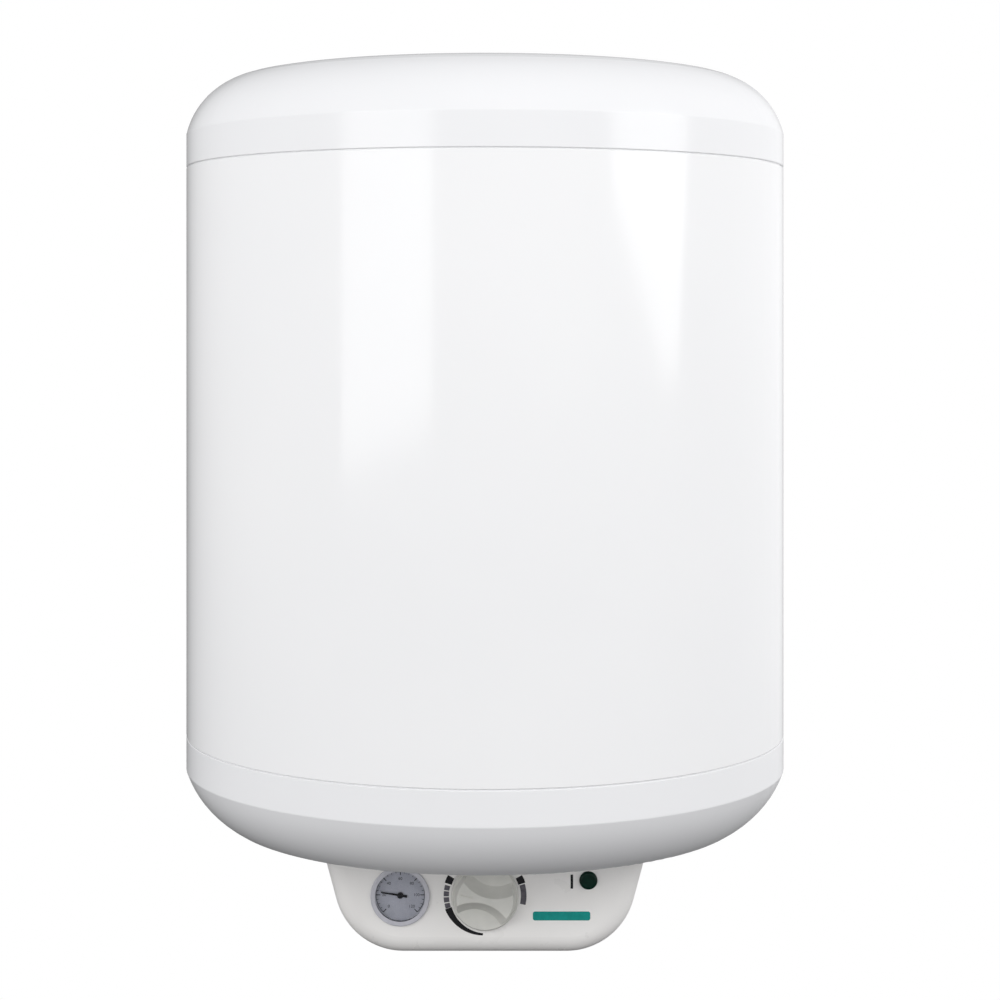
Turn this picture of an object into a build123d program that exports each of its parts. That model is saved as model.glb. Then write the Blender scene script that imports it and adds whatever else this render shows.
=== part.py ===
"""Wall-hung 50-litre electric storage water heater.

Frame: origin on the wall plane, midway between the two slots of the upper wall
bracket. +X runs right along the wall, +Y into the wall, +Z up. Millimetres.
The name v is used below for a depth measured from the heater's vertical axis,
negative towards the front.
"""

from math import acos, cos, degrees, radians, sin
import os

from build123d import *

os.makedirs("parts", exist_ok=True)

# Outer casing
BODY_R = 225.0
WALL_GAP = 25.0
AXIS_Y = -(BODY_R + WALL_GAP)
JACKET_TOP = 129.2
JACKET_BOTTOM = -293.6
JACKET_T = 1.0
SEAM_GAP = 0.8
CAP_T = 2.0
SKIRT_H = 24.6
TOP_CREASE_ANGLE = 13.0
TOP_SHOULDER_R = 57.5
TOP_SHOULDER_TURN = 51.0
TOP_ROLL_R = 42.0
TOP_SLOPE = 7.4
BOTTOM_CREASE_ANGLE = 19.0
BOTTOM_SHOULDER_R = 72.0
BOTTOM_SHOULDER_TURN = 41.0
BOTTOM_ROLL_R = 8.0
BOTTOM_SLOPE = 3.0
LIP_DEPTH = 12.0
LIP_CLEARANCE = 0.2
FOAM_INSET = 3.5

# Pressure vessel
TANK_R = 190.0
TANK_T = 2.0
TANK_TOP = 100.0
TANK_BOTTOM = -272.0
CROWN_R = 420.0
KNUCKLE_R = 30.0

# Service flange on the underside
NECK_R = 42.5
FLANGE_R = 62.5
STUD_CIRCLE_R = 52.5
FLANGE_Z = -352.0
GASKET_T = 3.0
PLATE_T = 6.0
NUT_H = 6.8
M8_R = 4.0
M8_HOLE_R = 4.3
M8_NUT_ACROSS = 13.0

# Immersed parts, as x and v of their axes
LEG_X = 20.0
LEG_V = 10.0
FOLD_V = -25.0
ELEMENT_R = 4.0
ANODE_V = 28.0
ANODE_R = 10.5
POCKET_V = -8.0
POCKET_R = 8.0
POCKET_BORE_R = 6.75
BULB_R = 3.0
BULB_OFFSET = 3.6
CAPILLARY_R = 0.75

# Water connections, G 1/2
NIPPLE_X = 50.0
NIPPLE_V = 112.0
NIPPLE_R = 10.48
NIPPLE_BORE_R = 7.5
NIPPLE_END = -403.0
THREAD_LENGTH = 28.0
SHANK_R = 10.2
COLLAR_R = 18.0
COLLAR_T = 6.0
COLLAR_TOP = -362.8

# Wall brackets
LOWER_BRACKET_Z = -240.0
BRACKET_W = 300.0
BRACKET_H = 45.0
BRACKET_T = 3.0
BOLT_SPACING = 240.0
BOLT_HOLE_R = 5.5
SLOT_LENGTH = 30.0
BRACKET_LEG_X = 45.0

# Control cover under the casing
COVER_FRONT_V = -105.0
COVER_BACK_V = 88.0
COVER_T = 2.5
COVER_TOP_HALF = 119.7
COVER_TOP_Z = -352.0
COVER_BOTTOM_HALF = 96.7
COVER_BOTTOM_Z = -437.0
COVER_CORNER_R = 50.0
COVER_FRONT_EDGE_R = 13.0
COVER_BACK_EDGE_R = 6.0
COVER_JOINT_GAP = 0.8
POST_X = 42.0
POST_V = 64.0
POST_R = 5.0

# Controls, as x and z of their axes
KNOB_Z = -394.5
KNOB_R = 24.0
GRIP_ANGLE = 15.0
SCOOP_R = 31.3
SCOOP_OFFSET = 30.3
SCOOP_AHEAD = 14.0
SPINDLE_R = 3.0
SPINDLE_BORE_R = 3.05
BUSHING_R = 5.0
GAUGE_X = -60.5
GAUGE_Z = -394.8
GAUGE_CASE_R = 19.9
GAUGE_READING_ANGLE = -81.0
LAMP_X = 73.7
LAMP_Z = -383.5
CUTOUT_X = 60.0
CUTOUT_V = 20.0
BUTTON_R = 2.5
TERMINAL_X = -60.0
TERMINAL_V = 30.0
GLAND_Z = -410.0
CABLE_R = 4.0

heater_axis = Axis((0, AXIS_Y, 0), (0, 0, 1))
section_plane = Plane(origin=(0, AXIS_Y, 0), x_dir=(1, 0, 0), z_dir=(0, -1, 0))
cap_outer_lip_r = BODY_R - JACKET_T - LIP_CLEARANCE


def rising_plane(z):
    """Half-section plane at height z whose local y points up."""
    return Plane(origin=(0, AXIS_Y, z), x_dir=(1, 0, 0), z_dir=(0, -1, 0))


def falling_plane(z):
    """Half-section plane at height z whose local y points down."""
    return Plane(origin=(0, AXIS_Y, z), x_dir=(1, 0, 0), z_dir=(0, 1, 0))


def level_plane(z):
    """Horizontal plane at height z centred on the heater axis."""
    return Plane(origin=(0, AXIS_Y, z))


def front_plane(x, z, v):
    """Vertical plane at depth v facing the front, centred on x and z."""
    return Plane(origin=(x, AXIS_Y + v, z), x_dir=(1, 0, 0), z_dir=(0, -1, 0))


def spot(x, v, z):
    """Point at depth v from the heater axis."""
    return (x, AXIS_Y + v, z)


def cap_section(crease_angle, shoulder_r, shoulder_turn, roll_r, dome_slope, inset):
    """Filled half-section of an end cap, shrunk by inset, from the seam to the axis."""
    centre_x = BODY_R - shoulder_r * cos(radians(crease_angle))
    centre_y = SKIRT_H - shoulder_r * sin(radians(crease_angle))
    arc_r = shoulder_r - inset
    # Angle at which the shoulder arc leaves the straight skirt.
    lean = acos((BODY_R - inset - centre_x) / arc_r)
    skirt = Line((BODY_R - inset, 0), (BODY_R - inset, centre_y + arc_r * sin(lean)))
    shoulder = JernArc(skirt @ 1, (-sin(lean), cos(lean)), arc_r,
                       crease_angle + shoulder_turn - degrees(lean))
    roll = JernArc(shoulder @ 1, shoulder % 1, roll_r - inset,
                   90 - crease_angle - shoulder_turn - dome_slope)
    dome_r = (roll @ 1).X / sin(radians(dome_slope))
    dome = JernArc(roll @ 1, roll % 1, dome_r, dome_slope)
    closing = Polyline(dome @ 1, (0, 0), skirt @ 0)
    return make_face([skirt, shoulder, roll, dome, *closing.edges()])


def top_section(inset):
    """Half-section of the top cap, shrunk by inset."""
    return cap_section(TOP_CREASE_ANGLE, TOP_SHOULDER_R, TOP_SHOULDER_TURN, TOP_ROLL_R,
                       TOP_SLOPE, inset)


def bottom_section(inset):
    """Half-section of the bottom cap, shrunk by inset."""
    return cap_section(BOTTOM_CREASE_ANGLE, BOTTOM_SHOULDER_R, BOTTOM_SHOULDER_TURN,
                       BOTTOM_ROLL_R, BOTTOM_SLOPE, inset)


def head_section(grow):
    """Filled half-section of a torispherical tank head, enlarged by grow."""
    turn = degrees(acos((TANK_R - KNUCKLE_R) / (CROWN_R - KNUCKLE_R)))
    knuckle = JernArc((TANK_R + grow, 0), (0, 1), KNUCKLE_R + grow, turn)
    crown = JernArc(knuckle @ 1, knuckle % 1, CROWN_R + grow, 90 - turn)
    closing = Polyline(crown @ 1, (0, 0), knuckle @ 0)
    return make_face([knuckle, crown, *closing.edges()])


def bent_rod(points, radius, bend):
    """Round rod following straight runs joined by bends."""
    path = FilletPolyline(*points, radius=bend)
    return sweep(Plane(path @ 0, z_dir=path % 0) * Circle(radius), path=path)


def capillary_line(bulb_angle, points):
    """Thermostat bulb in the pocket with its fine tube led out through points."""
    bulb_x = BULB_OFFSET * cos(radians(bulb_angle))
    bulb_v = POCKET_V + BULB_OFFSET * sin(radians(bulb_angle))
    bulb = Pos(*spot(bulb_x, bulb_v, -230)) * Cylinder(BULB_R, 120)
    tube = bent_rod([spot(bulb_x, bulb_v, -289.5), *points], CAPILLARY_R, 5)
    return bulb + tube


# ---------------------------------------------------------------- outer casing

top_cap_face = top_section(0)
top_cap_inner_face = top_section(CAP_T)
top_foam_face = top_section(FOAM_INSET)
bottom_cap_face = bottom_section(0)
bottom_cap_inner_face = bottom_section(CAP_T)
bottom_foam_face = bottom_section(FOAM_INSET)
cover_joint_face = bottom_section(-COVER_JOINT_GAP)
head_face = head_section(0)
head_inner_face = head_section(-TANK_T)
head_weld_face = head_section(0.2)
head_foam_face = head_section(0.3)

with BuildPart() as top_cap:
    with BuildSketch(rising_plane(JACKET_TOP + SEAM_GAP)) as top_cap_section:
        add(top_cap_face)
        add(top_cap_inner_face, mode=Mode.SUBTRACT)
        with Locations((cap_outer_lip_r - CAP_T / 2, (4 - LIP_DEPTH) / 2)):
            Rectangle(CAP_T, 4 + LIP_DEPTH)
        with Locations((BODY_R, 0)):
            Rectangle(0.8, 0.8, rotation=45, mode=Mode.SUBTRACT)
        crease = top_cap_section.vertices().sort_by_distance((BODY_R, SKIRT_H))[0]
        fillet(crease, 3)
    revolve(axis=heater_axis)
top_cap.part.label = "top_cap"
export_step(top_cap.part, "parts/top_cap.step")

with BuildPart() as jacket:
    with BuildSketch(section_plane):
        with BuildLine():
            Polyline(
                (BODY_R - JACKET_T, JACKET_BOTTOM), (BODY_R - 0.4, JACKET_BOTTOM),
                (BODY_R, JACKET_BOTTOM + 0.4), (BODY_R, JACKET_TOP - 0.4),
                (BODY_R - 0.4, JACKET_TOP), (BODY_R - JACKET_T, JACKET_TOP),
                close=True,
            )
        make_face()
    revolve(axis=heater_axis)
    # Folded lock seam of the rolled sheet, down the back.
    with Locations(spot(0, BODY_R - 0.1, (JACKET_TOP + JACKET_BOTTOM) / 2)):
        Box(10, 1.4, JACKET_TOP - JACKET_BOTTOM - 2)
    for bracket_z in (0, LOWER_BRACKET_Z):
        for side in (-1, 1):
            with Locations(spot(side * BRACKET_LEG_X, BODY_R - 5, bracket_z)):
                Box(BRACKET_T + 0.6, 40, BRACKET_H + 1, mode=Mode.SUBTRACT)
jacket.part.label = "jacket"
export_step(jacket.part, "parts/jacket.step")

with BuildPart() as bottom_cap:
    with BuildSketch(falling_plane(JACKET_BOTTOM - SEAM_GAP)) as bottom_cap_section:
        add(bottom_cap_face)
        add(bottom_cap_inner_face, mode=Mode.SUBTRACT)
        with Locations((cap_outer_lip_r - CAP_T / 2, (4 - LIP_DEPTH) / 2)):
            Rectangle(CAP_T, 4 + LIP_DEPTH)
        with Locations((BODY_R, 0)):
            Rectangle(0.8, 0.8, rotation=45, mode=Mode.SUBTRACT)
        crease = bottom_cap_section.vertices().sort_by_distance((BODY_R, SKIRT_H))[0]
        fillet(crease, 3)
    revolve(axis=heater_axis)
    with Locations(spot(0, 0, -365)):
        Cylinder(68, 40, mode=Mode.SUBTRACT)
    for side in (-1, 1):
        with Locations(spot(side * NIPPLE_X, NIPPLE_V, -365)):
            Cylinder(13, 40, mode=Mode.SUBTRACT)
bottom_cap.part.label = "bottom_cap"
export_step(bottom_cap.part, "parts/bottom_cap.step")

# --------------------------------------------------------------- pressure tank

with BuildPart() as tank_shell:
    with BuildSketch(level_plane(TANK_BOTTOM)):
        Circle(TANK_R)
        Circle(TANK_R - TANK_T, mode=Mode.SUBTRACT)
    extrude(amount=TANK_TOP - TANK_BOTTOM)
tank_shell.part.label = "tank_shell"
export_step(tank_shell.part, "parts/tank_shell.step")

with BuildPart() as tank_top_end:
    with BuildSketch(rising_plane(TANK_TOP)):
        add(head_face)
        add(head_inner_face, mode=Mode.SUBTRACT)
    revolve(axis=heater_axis)
tank_top_end.part.label = "tank_top_end"
export_step(tank_top_end.part, "parts/tank_top_end.step")

with BuildPart() as tank_bottom_end:
    with BuildSketch(falling_plane(TANK_BOTTOM)):
        add(head_face)
        add(head_inner_face, mode=Mode.SUBTRACT)
    revolve(axis=heater_axis)
    with Locations(spot(0, 0, -335)):
        Cylinder(NECK_R, 30, mode=Mode.SUBTRACT)
    for side in (-1, 1):
        with Locations(spot(side * NIPPLE_X, NIPPLE_V, -320)):
            Cylinder(NIPPLE_R + 0.15, 40, mode=Mode.SUBTRACT)
tank_bottom_end.part.label = "tank_bottom_end"
export_step(tank_bottom_end.part, "parts/tank_bottom_end.step")

with BuildPart() as foam_insulation:
    with BuildSketch(rising_plane(JACKET_TOP + SEAM_GAP)):
        add(top_foam_face)
    with BuildSketch(falling_plane(JACKET_BOTTOM - SEAM_GAP)):
        add(bottom_foam_face)
    with BuildSketch(section_plane):
        with Locations((0, (JACKET_TOP + JACKET_BOTTOM) / 2)):
            Rectangle(BODY_R - FOAM_INSET, JACKET_TOP - JACKET_BOTTOM + 2 * SEAM_GAP,
                      align=(Align.MIN, Align.CENTER))
            Rectangle(BODY_R - JACKET_T - 0.4, JACKET_TOP - JACKET_BOTTOM - 2 * LIP_DEPTH - 1,
                      align=(Align.MIN, Align.CENTER))
    revolve(axis=heater_axis)
    # Room for the tank.
    with BuildSketch(rising_plane(TANK_TOP)):
        add(head_foam_face)
    with BuildSketch(falling_plane(TANK_BOTTOM)):
        add(head_foam_face)
    with BuildSketch(section_plane):
        with Locations((0, TANK_BOTTOM)):
            Rectangle(TANK_R + 0.3, TANK_TOP - TANK_BOTTOM, align=Align.MIN)
    revolve(axis=heater_axis, mode=Mode.SUBTRACT)
    with Locations(spot(0, 0, -350)):
        Cylinder(66, 40, mode=Mode.SUBTRACT)
    for side in (-1, 1):
        with Locations(spot(side * NIPPLE_X, NIPPLE_V, -340)):
            Cylinder(NIPPLE_R + 0.5, 60, mode=Mode.SUBTRACT)
        for bracket_z in (0, LOWER_BRACKET_Z):
            with Locations(spot(side * BRACKET_LEG_X, BODY_R - 15, bracket_z)):
                Box(BRACKET_T + 0.6, 70, BRACKET_H + 1, mode=Mode.SUBTRACT)
foam_insulation.part.label = "foam_insulation"
export_step(foam_insulation.part, "parts/foam_insulation.step")

# -------------------------------------------------------------- service flange

gasket_z = FLANGE_Z - GASKET_T
plate_z = gasket_z - PLATE_T
stud_spots = [
    (STUD_CIRCLE_R * cos(radians(a)), STUD_CIRCLE_R * sin(radians(a)))
    for a in range(30, 390, 60)
]

with BuildPart() as flange_ring:
    with BuildSketch(level_plane(FLANGE_Z)):
        Circle(FLANGE_R)
        Circle(NECK_R, mode=Mode.SUBTRACT)
    extrude(amount=24)
    # The upper face follows the tank end it is welded to.
    with BuildSketch(falling_plane(TANK_BOTTOM)):
        add(head_weld_face)
    revolve(axis=heater_axis, mode=Mode.SUBTRACT)
    with BuildSketch(level_plane(FLANGE_Z)):
        with Locations(*stud_spots):
            Circle(M8_R + 0.15)
    extrude(amount=12, mode=Mode.SUBTRACT)
flange_ring.part.label = "flange_ring"
export_step(flange_ring.part, "parts/flange_ring.step")

with BuildPart() as flange_gasket:
    with BuildSketch(level_plane(gasket_z)):
        Circle(FLANGE_R)
        Circle(NECK_R, mode=Mode.SUBTRACT)
        with Locations(*stud_spots):
            Circle(M8_HOLE_R, mode=Mode.SUBTRACT)
    extrude(amount=GASKET_T)
flange_gasket.part.label = "flange_gasket"
export_step(flange_gasket.part, "parts/flange_gasket.step")

with BuildPart() as flange_plate:
    with BuildSketch(level_plane(plate_z)):
        Circle(FLANGE_R)
        with Locations(*stud_spots, (0, ANODE_V)):
            Circle(M8_HOLE_R, mode=Mode.SUBTRACT)
        with Locations((-LEG_X, LEG_V), (LEG_X, LEG_V)):
            Circle(ELEMENT_R + 0.2, mode=Mode.SUBTRACT)
        with Locations((0, POCKET_V)):
            Circle(POCKET_R + 0.2, mode=Mode.SUBTRACT)
    extrude(amount=PLATE_T)
    chamfer(flange_plate.faces().sort_by(Axis.Z)[0].outer_wire().edges(), 1)
flange_plate.part.label = "flange_plate"
export_step(flange_plate.part, "parts/flange_plate.step")

with BuildPart() as flange_studs:
    with BuildSketch(level_plane(plate_z - NUT_H - 2.5)):
        with Locations(*stud_spots):
            Circle(M8_R)
    extrude(amount=FLANGE_Z + 11.5 - (plate_z - NUT_H - 2.5))
flange_studs.part.label = "flange_studs"
export_step(flange_studs.part, "parts/flange_studs.step")

with BuildPart() as flange_nuts:
    with BuildSketch(level_plane(plate_z - NUT_H)):
        with Locations(*stud_spots, (0, ANODE_V)):
            RegularPolygon(M8_NUT_ACROSS / 2, 6, major_radius=False)
            Circle(M8_R + 0.15, mode=Mode.SUBTRACT)
    extrude(amount=NUT_H)
flange_nuts.part.label = "flange_nuts"
export_step(flange_nuts.part, "parts/flange_nuts.step")

# ------------------------------------------------------- parts inside the tank

element_top = -120.0
element_low = -290.0
element_end = -371.0
element_body = bent_rod(
    [
        spot(-LEG_X, LEG_V, element_end), spot(-LEG_X, LEG_V, element_top),
        spot(-LEG_X, FOLD_V, element_top), spot(-LEG_X, FOLD_V, element_low),
        spot(LEG_X, FOLD_V, element_low), spot(LEG_X, FOLD_V, element_top),
        spot(LEG_X, LEG_V, element_top), spot(LEG_X, LEG_V, element_end),
    ],
    ELEMENT_R, 12,
)
with BuildPart() as heating_element:
    add(element_body)
heating_element.part.label = "heating_element"
export_step(heating_element.part, "parts/heating_element.step")

with BuildPart() as element_bushes:
    with BuildSketch(level_plane(plate_z - 4)):
        with Locations((-LEG_X, LEG_V), (LEG_X, LEG_V)):
            Circle(7)
            Circle(ELEMENT_R + 0.15, mode=Mode.SUBTRACT)
    extrude(amount=4)
element_bushes.part.label = "element_bushes"
export_step(element_bushes.part, "parts/element_bushes.step")

with BuildPart() as element_terminals:
    with BuildSketch(level_plane(element_end - 12)):
        with Locations((-LEG_X, LEG_V), (LEG_X, LEG_V)):
            Circle(2)
    extrude(amount=12)
    # Flat tab for the push-on wire connector.
    for side in (-1, 1):
        with Locations(spot(side * LEG_X, LEG_V, element_end - 10)):
            Box(6.3, 0.8, 8)
element_terminals.part.label = "element_terminals"
export_step(element_terminals.part, "parts/element_terminals.step")

with BuildPart() as anode_rod:
    with Locations(spot(0, ANODE_V, gasket_z + 0.5 + 110)):
        Cylinder(ANODE_R, 220)
    fillet(anode_rod.faces().sort_by(Axis.Z)[-1].edges(), 4)
    with Locations(spot(0, ANODE_V, gasket_z + 0.5 + 15)):
        Cylinder(M8_R + 0.15, 31, mode=Mode.SUBTRACT)
anode_rod.part.label = "anode_rod"
export_step(anode_rod.part, "parts/anode_rod.step")

with BuildPart() as anode_stud:
    with Locations(spot(0, ANODE_V, (plate_z - NUT_H - 2.5 + gasket_z + 28) / 2)):
        Cylinder(M8_R, gasket_z + 28 - (plate_z - NUT_H - 2.5))
anode_stud.part.label = "anode_stud"
export_step(anode_stud.part, "parts/anode_stud.step")

with BuildPart() as sensor_pocket:
    with BuildSketch(level_plane(plate_z - 2)):
        with Locations((0, POCKET_V)):
            Circle(POCKET_R)
    extrude(amount=205)
    fillet(sensor_pocket.faces().sort_by(Axis.Z)[-1].edges(), 3)
    with BuildSketch(level_plane(plate_z - 3)):
        with Locations((0, POCKET_V)):
            Circle(POCKET_BORE_R)
    extrude(amount=204, mode=Mode.SUBTRACT)
sensor_pocket.part.label = "sensor_pocket"
export_step(sensor_pocket.part, "parts/sensor_pocket.step")

# ----------------------------------------------------------- water connections

with BuildPart() as cold_inlet_nipple:
    with Locations(spot(NIPPLE_X, NIPPLE_V, NIPPLE_END + THREAD_LENGTH / 2)):
        Cylinder(NIPPLE_R, THREAD_LENGTH)
    chamfer(cold_inlet_nipple.faces().sort_by(Axis.Z)[0].edges(), 1)
    with Locations(spot(NIPPLE_X, NIPPLE_V, -340)):
        Cylinder(SHANK_R, 80)
        Cylinder(NIPPLE_BORE_R, 200, mode=Mode.SUBTRACT)
cold_inlet_nipple.part.label = "cold_inlet_nipple"
export_step(cold_inlet_nipple.part, "parts/cold_inlet_nipple.step")

with BuildPart() as hot_outlet_nipple:
    with Locations(spot(-NIPPLE_X, NIPPLE_V, NIPPLE_END + THREAD_LENGTH / 2)):
        Cylinder(NIPPLE_R, THREAD_LENGTH)
    chamfer(hot_outlet_nipple.faces().sort_by(Axis.Z)[0].edges(), 1)
    with Locations(spot(-NIPPLE_X, NIPPLE_V, -340)):
        Cylinder(SHANK_R, 80)
        Cylinder(NIPPLE_BORE_R, 200, mode=Mode.SUBTRACT)
hot_outlet_nipple.part.label = "hot_outlet_nipple"
export_step(hot_outlet_nipple.part, "parts/hot_outlet_nipple.step")

with BuildPart() as cold_collar:
    with BuildSketch(level_plane(COLLAR_TOP - COLLAR_T)):
        with Locations((NIPPLE_X, NIPPLE_V)):
            Circle(COLLAR_R)
            Circle(NIPPLE_R + 0.15, mode=Mode.SUBTRACT)
    extrude(amount=COLLAR_T)
    fillet(cold_collar.faces().sort_by(Axis.Z)[0].outer_wire().edges(), 1.5)
cold_collar.part.label = "cold_collar"
export_step(cold_collar.part, "parts/cold_collar.step")

with BuildPart() as hot_collar:
    with BuildSketch(level_plane(COLLAR_TOP - COLLAR_T)):
        with Locations((-NIPPLE_X, NIPPLE_V)):
            Circle(COLLAR_R)
            Circle(NIPPLE_R + 0.15, mode=Mode.SUBTRACT)
    extrude(amount=COLLAR_T)
    fillet(hot_collar.faces().sort_by(Axis.Z)[0].outer_wire().edges(), 1.5)
hot_collar.part.label = "hot_collar"
export_step(hot_collar.part, "parts/hot_collar.step")

# Slotted cup that spreads the incoming cold water sideways.
with BuildPart() as inlet_diffuser:
    with BuildSketch(level_plane(-306)):
        with Locations((NIPPLE_X, NIPPLE_V)):
            Circle(NIPPLE_R + 3)
            Circle(NIPPLE_R + 0.15, mode=Mode.SUBTRACT)
    extrude(amount=24)
    with Locations(spot(NIPPLE_X, NIPPLE_V, -282)):
        Cylinder(NIPPLE_R + 3, 3)
    for turn in (0, 60, 120):
        with Locations(Location(spot(NIPPLE_X, NIPPLE_V, -291.5), (0, 0, turn))):
            Box(40, 7, 12, mode=Mode.SUBTRACT)
inlet_diffuser.part.label = "inlet_diffuser"
export_step(inlet_diffuser.part, "parts/inlet_diffuser.step")

with BuildPart() as outlet_tube:
    with BuildSketch(level_plane(-325)):
        with Locations((-NIPPLE_X, NIPPLE_V)):
            Circle(NIPPLE_BORE_R - 0.1)
    extrude(amount=20)
    with BuildSketch(level_plane(-305)):
        with Locations((-NIPPLE_X, NIPPLE_V)):
            Circle(6)
    extrude(amount=438)
    with BuildSketch(level_plane(-326)):
        with Locations((-NIPPLE_X, NIPPLE_V)):
            Circle(5)
    extrude(amount=460, mode=Mode.SUBTRACT)
outlet_tube.part.label = "outlet_tube"
export_step(outlet_tube.part, "parts/outlet_tube.step")

# --------------------------------------------------------------- wall brackets

with BuildPart() as upper_wall_bracket:
    with BuildSketch(Plane.XZ):
        RectangleRounded(BRACKET_W, BRACKET_H, 6)
        with Locations((-BOLT_SPACING / 2, 0), (BOLT_SPACING / 2, 0)):
            SlotOverall(SLOT_LENGTH, 2 * BOLT_HOLE_R, mode=Mode.SUBTRACT)
    extrude(amount=BRACKET_T)
    # Two welded legs reach through the jacket and foam to the tank.
    for side in (-1, 1):
        with Locations((side * BRACKET_LEG_X, -BRACKET_T - 37, 0)):
            Box(BRACKET_T, 76, BRACKET_H)
    with Locations(spot(0, 0, 0)):
        Cylinder(TANK_R + 0.2, BRACKET_H + 10, mode=Mode.SUBTRACT)
upper_wall_bracket.part.label = "upper_wall_bracket"
export_step(upper_wall_bracket.part, "parts/upper_wall_bracket.step")

with BuildPart() as lower_wall_bracket:
    with BuildSketch(Plane(origin=(0, 0, LOWER_BRACKET_Z), x_dir=(1, 0, 0), z_dir=(0, -1, 0))):
        RectangleRounded(BRACKET_W, BRACKET_H, 6)
        with Locations((-BOLT_SPACING / 2, 0), (BOLT_SPACING / 2, 0)):
            Circle(BOLT_HOLE_R, mode=Mode.SUBTRACT)
    extrude(amount=BRACKET_T)
    for side in (-1, 1):
        with Locations((side * BRACKET_LEG_X, -BRACKET_T - 37, LOWER_BRACKET_Z)):
            Box(BRACKET_T, 76, BRACKET_H)
    with Locations(spot(0, 0, LOWER_BRACKET_Z)):
        Cylinder(TANK_R + 0.2, BRACKET_H + 10, mode=Mode.SUBTRACT)
lower_wall_bracket.part.label = "lower_wall_bracket"
export_step(lower_wall_bracket.part, "parts/lower_wall_bracket.step")

# --------------------------------------------------------------- control cover

with BuildPart() as control_cover:
    with BuildSketch(front_plane(0, 0, COVER_BACK_V)) as cover_outline:
        with BuildLine():
            Polyline(
                (-COVER_TOP_HALF, COVER_TOP_Z), (COVER_TOP_HALF, COVER_TOP_Z),
                (COVER_BOTTOM_HALF, COVER_BOTTOM_Z), (-COVER_BOTTOM_HALF, COVER_BOTTOM_Z),
                close=True,
            )
        make_face()
        fillet(cover_outline.vertices().group_by(Axis.Y)[0], COVER_CORNER_R)
    extrude(amount=COVER_BACK_V - COVER_FRONT_V)
    front_face = control_cover.faces().sort_by(Axis.Y)[0]
    fillet([e for e in front_face.edges() if e.center().Z < COVER_TOP_Z - 1],
           COVER_FRONT_EDGE_R)
    back_face = control_cover.faces().sort_by(Axis.Y)[-1]
    fillet([e for e in back_face.edges() if e.center().Z < COVER_TOP_Z - 1],
           COVER_BACK_EDGE_R)
    top_face = control_cover.faces().sort_by(Axis.Z)[-1]
    offset(amount=-COVER_T, openings=top_face)
    # The upper rim follows the underside of the bottom cap.
    with BuildSketch(falling_plane(JACKET_BOTTOM - SEAM_GAP)):
        add(cover_joint_face)
    revolve(axis=heater_axis, mode=Mode.SUBTRACT)
    with BuildSketch(front_plane(0, 0, COVER_FRONT_V + 10)):
        with Locations((0, KNOB_Z)):
            Circle(BUSHING_R + 0.2)
        with Locations((-14, KNOB_Z), (14, KNOB_Z)):
            Circle(2.2)
        with Locations((GAUGE_X, GAUGE_Z)):
            Circle(GAUGE_CASE_R + 0.3)
        with Locations((LAMP_X, LAMP_Z)):
            Circle(5.0)
    extrude(amount=20, mode=Mode.SUBTRACT)
    with BuildSketch(front_plane(0, GLAND_Z, COVER_BACK_V + 10)):
        Circle(8.2)
    extrude(amount=20, mode=Mode.SUBTRACT)
    with BuildSketch(level_plane(COVER_BOTTOM_Z - 5)):
        with Locations((-POST_X, -POST_V), (POST_X, -POST_V),
                       (-POST_X, POST_V), (POST_X, POST_V)):
            Circle(2.2)
        with Locations((CUTOUT_X, CUTOUT_V)):
            Circle(4)
    extrude(amount=20, mode=Mode.SUBTRACT)
control_cover.part.label = "control_cover"
export_step(control_cover.part, "parts/control_cover.step")

floor_z = COVER_BOTTOM_Z + COVER_T
post_top_z = -363.4

with BuildPart() as cover_posts:
    with BuildSketch(level_plane(floor_z + 0.1)):
        with Locations((-POST_X, -POST_V), (POST_X, -POST_V),
                       (-POST_X, POST_V), (POST_X, POST_V)):
            Circle(POST_R)
    extrude(amount=post_top_z - floor_z - 0.1)
    with BuildSketch(level_plane(floor_z)):
        with Locations((-POST_X, -POST_V), (POST_X, -POST_V),
                       (-POST_X, POST_V), (POST_X, POST_V)):
            Circle(2.1)
    extrude(amount=14, mode=Mode.SUBTRACT)
cover_posts.part.label = "cover_posts"
export_step(cover_posts.part, "parts/cover_posts.step")

with BuildPart() as cover_screws:
    with BuildSketch(level_plane(COVER_BOTTOM_Z - 2.2)):
        with Locations((-POST_X, -POST_V), (POST_X, -POST_V),
                       (-POST_X, POST_V), (POST_X, POST_V)):
            Circle(4)
    extrude(amount=2.2)
    with BuildSketch(level_plane(COVER_BOTTOM_Z)):
        with Locations((-POST_X, -POST_V), (POST_X, -POST_V),
                       (-POST_X, POST_V), (POST_X, POST_V)):
            Circle(1.95)
    extrude(amount=14)
    chamfer(cover_screws.faces().group_by(Axis.Z)[0].edges(), 0.6)
    with BuildSketch(level_plane(COVER_BOTTOM_Z - 2.3)):
        with Locations((-POST_X, -POST_V), (POST_X, -POST_V),
                       (-POST_X, POST_V), (POST_X, POST_V)):
            Rectangle(4.2, 0.9)
            Rectangle(0.9, 4.2)
    extrude(amount=1.3, mode=Mode.SUBTRACT)
cover_screws.part.label = "cover_screws"
export_step(cover_screws.part, "parts/cover_screws.step")

# ------------------------------------------------------- thermostat and knob

panel_back_v = COVER_FRONT_V + COVER_T
thermostat_back_v = -78.3

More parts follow.
